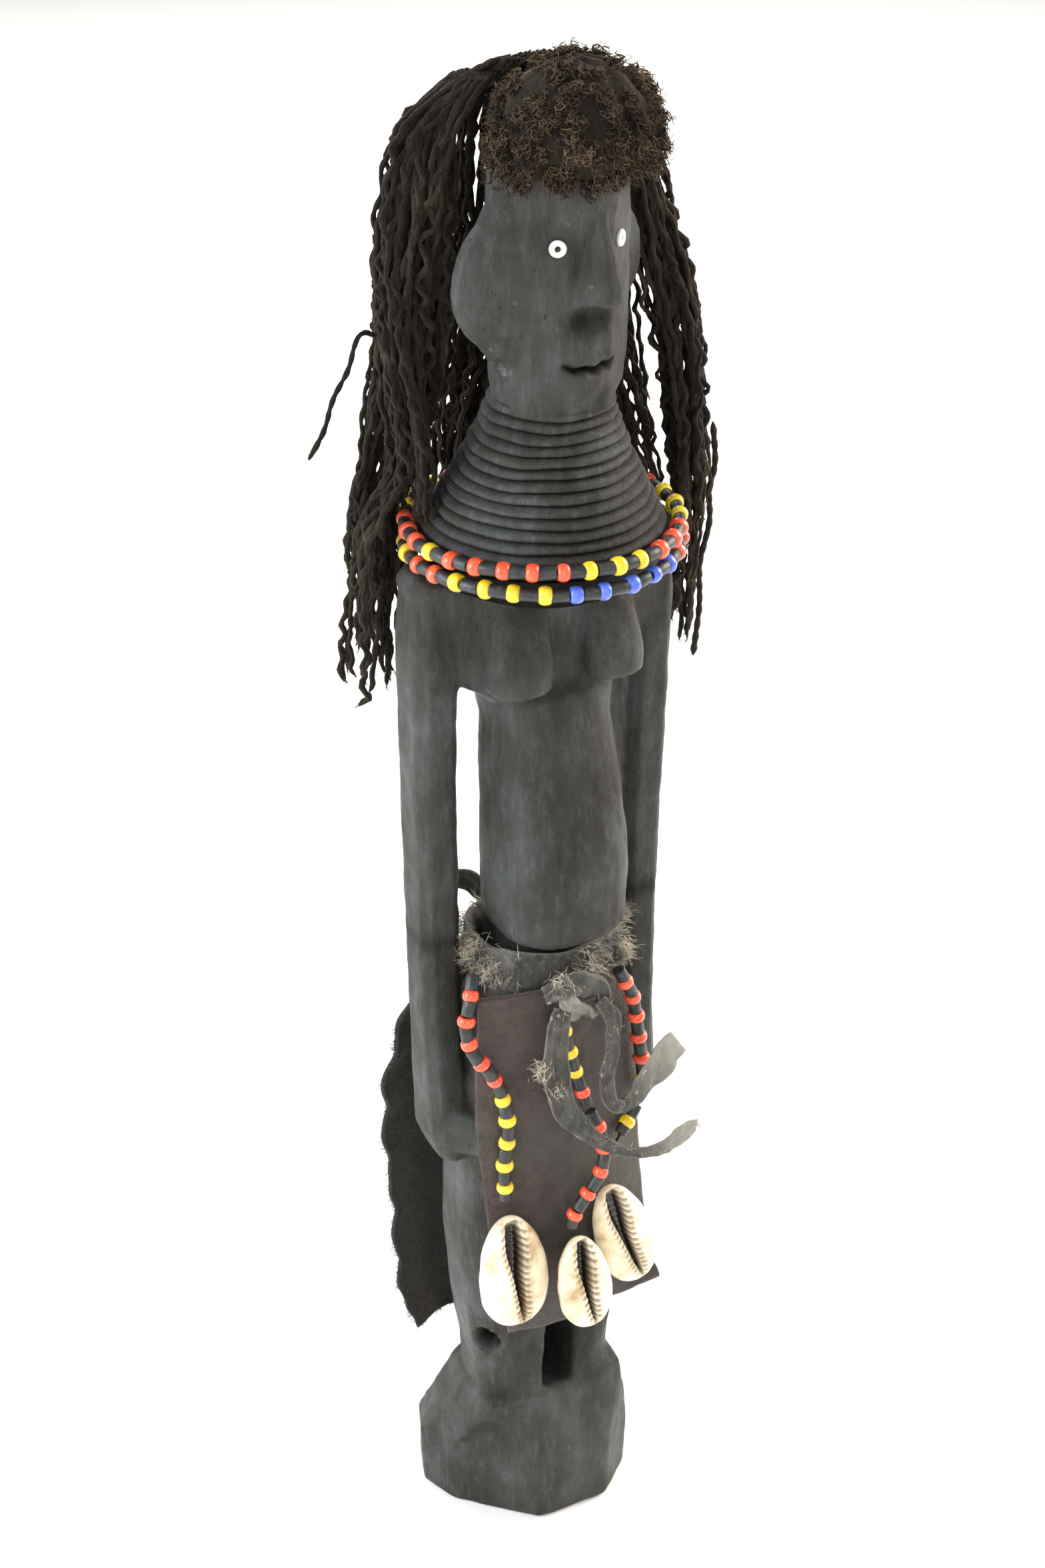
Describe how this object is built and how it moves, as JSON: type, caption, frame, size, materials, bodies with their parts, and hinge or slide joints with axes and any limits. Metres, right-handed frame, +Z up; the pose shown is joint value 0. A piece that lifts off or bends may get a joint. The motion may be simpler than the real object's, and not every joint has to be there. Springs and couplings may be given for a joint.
{
  "type": "carved fertility doll",
  "caption": "Hand-carved wooden doll with a ringed neck, yarn hair, bead necklaces, hide apron and skirt, and bead strings ending in cowrie shells.",
  "frame": {"origin": "centre of the carved base's flat underside", "axes": "+Z up along the doll, the face looks along -Y, the doll's right hand is at -X"},
  "size_m": [0.081, 0.0699, 0.3287],
  "materials": {
    "dyed_wood": "hand-carved, dyed black and rubbed to a dull sheen, with knife facets",
    "glass_white": "opaque white glass bead, glossy",
    "steel_pin": "dark, dull pin head",
    "black_wool": "crinkled twisted wool yarn and a matted fleece pad, dark brown-black",
    "black_rubber": "short black tubes on thread, slightly glossy",
    "rawhide": "grey untanned hide with hair left on in tufts",
    "goat_hide": "near-black dressed goatskin with a fuzzy cut edge",
    "oiled_leather": "dark reddish-brown oiled leather, matt",
    "cowrie_shell": "natural shell, cream and glossy",
    "glass_orange": "opaque orange-red glass bead, glossy",
    "glass_yellow": "opaque yellow glass bead, glossy"
  },
  "bodies": {
    "figure": {"carved_figure": "dyed_wood", "eye_bead_right": "glass_white", "eye_bead_left": "glass_white", "eye_pin_right": "steel_pin", "eye_pin_left": "steel_pin", "hair_cap": "black_wool", "waist_strap": "rawhide", "strap_knot": "rawhide", "tie_loop": "goat_hide"},
    "right_locks": {"hair_lock_right": "black_wool", "stray_cord_temple": "black_wool", "stray_cord_jaw": "black_wool"},
    "left_locks": {"hair_lock_left": "black_wool", "stray_cord_shoulder": "black_wool"},
    "back_locks": {"hair_back": "black_wool"},
    "upper_necklace": {"upper_necklace": "black_rubber"},
    "lower_necklace": {"lower_necklace": "black_rubber"},
    "skirt": {"back_skirt": "goat_hide"},
    "apron": {"front_apron": "oiled_leather", "string_middle_upper_bead_01": "glass_yellow", "string_middle_upper_bead_02": "glass_yellow", "string_middle_upper_bead_03": "glass_yellow", "string_middle_upper_bead_04": "glass_orange", "string_middle_upper_thread": "black_rubber", "string_left_upper_bead_01": "glass_orange", "string_left_upper_bead_02": "glass_orange", "string_left_upper_bead_03": "glass_orange", "string_left_upper_bead_04": "glass_orange", "string_left_upper_bead_05": "glass_orange", "string_left_upper_bead_06": "glass_yellow", "string_left_upper_thread": "black_rubber"},
    "tail_upper": {"strap_tail_upper": "rawhide"},
    "tail_lower": {"strap_tail_lower": "rawhide"},
    "string_right": {"string_right_bead_01": "glass_orange", "string_right_bead_02": "glass_orange", "string_right_bead_03": "glass_orange", "string_right_bead_04": "glass_orange", "string_right_bead_05": "glass_orange", "string_right_bead_06": "glass_yellow", "string_right_bead_07": "glass_yellow", "string_right_bead_08": "glass_yellow", "string_right_bead_09": "glass_yellow", "string_right_bead_10": "glass_yellow", "string_right_thread": "black_rubber"},
    "cowrie_right": {"cowrie_right": "cowrie_shell"},
    "crossed_strings": {"string_left_lower_bead_01": "glass_yellow", "string_left_lower_thread": "black_rubber", "string_middle_lower_bead_01": "glass_orange", "string_middle_lower_bead_02": "glass_orange", "string_middle_lower_bead_03": "glass_orange", "string_middle_lower_bead_04": "glass_orange", "string_middle_lower_bead_05": "glass_orange", "string_middle_lower_thread": "black_rubber", "cowrie_left": "cowrie_shell"},
    "cowrie_middle": {"cowrie_middle": "cowrie_shell"}
  },
  "joints": [
    {"name": "right_locks_swing", "type": "hinge", "parent": "figure", "child": "right_locks", "pos_m": [-0.014, 0.003, 0.317], "axis": [0, 1, 0], "range_deg": [0, 18]},
    {"name": "left_locks_swing", "type": "hinge", "parent": "figure", "child": "left_locks", "pos_m": [0.0168, 0.0024, 0.317], "axis": [0, -1, 0], "range_deg": [0, 18]},
    {"name": "back_locks_swing", "type": "hinge", "parent": "figure", "child": "back_locks", "pos_m": [0.0014, 0.0016, 0.319], "axis": [1, 0, 0], "range_deg": [0, 18]},
    {"name": "upper_necklace_turn", "type": "hinge", "parent": "figure", "child": "upper_necklace", "pos_m": [0.0008, -0.006, 0.2422], "axis": [0, 0, 1], "continuous": true},
    {"name": "lower_necklace_turn", "type": "hinge", "parent": "figure", "child": "lower_necklace", "pos_m": [0.0008, -0.006, 0.2382], "axis": [0, 0, 1], "continuous": true},
    {"name": "skirt_swing", "type": "hinge", "parent": "figure", "child": "skirt", "pos_m": [0, 0.008, 0.1464], "axis": [1, 0, 0], "range_deg": [0, 35]},
    {"name": "apron_swing", "type": "hinge", "parent": "figure", "child": "apron", "pos_m": [-0.0038, -0.0232, 0.1464], "axis": [-1, 0, 0], "range_deg": [0, 18]},
    {"name": "tail_upper_swing", "type": "hinge", "parent": "apron", "child": "tail_upper", "pos_m": [0.0036, -0.0303, 0.1452], "axis": [-1, 0, 0], "range_deg": [0, 35]},
    {"name": "tail_lower_swing", "type": "hinge", "parent": "apron", "child": "tail_lower", "pos_m": [-0.0082, -0.0298, 0.1456], "axis": [-1, 0, 0], "range_deg": [0, 35]},
    {"name": "string_right_swing", "type": "hinge", "parent": "apron", "child": "string_right", "pos_m": [-0.021, -0.0188, 0.1548], "axis": [-1, 0, 0], "range_deg": [0, 35]},
    {"name": "cowrie_right_swing", "type": "hinge", "parent": "string_right", "child": "cowrie_right", "pos_m": [-0.0197, -0.0324, 0.1042], "axis": [-1, 0, 0], "range_deg": [0, 50]},
    {"name": "crossed_strings_swing", "type": "hinge", "parent": "apron", "child": "crossed_strings", "pos_m": [0.002, -0.0284, 0.1226], "axis": [-1, 0, 0], "range_deg": [0, 15]},
    {"name": "cowrie_middle_swing", "type": "hinge", "parent": "crossed_strings", "child": "cowrie_middle", "pos_m": [-0.0065, -0.0354, 0.0974], "axis": [-1, 0, 0], "range_deg": [0, 50]}
  ]
}
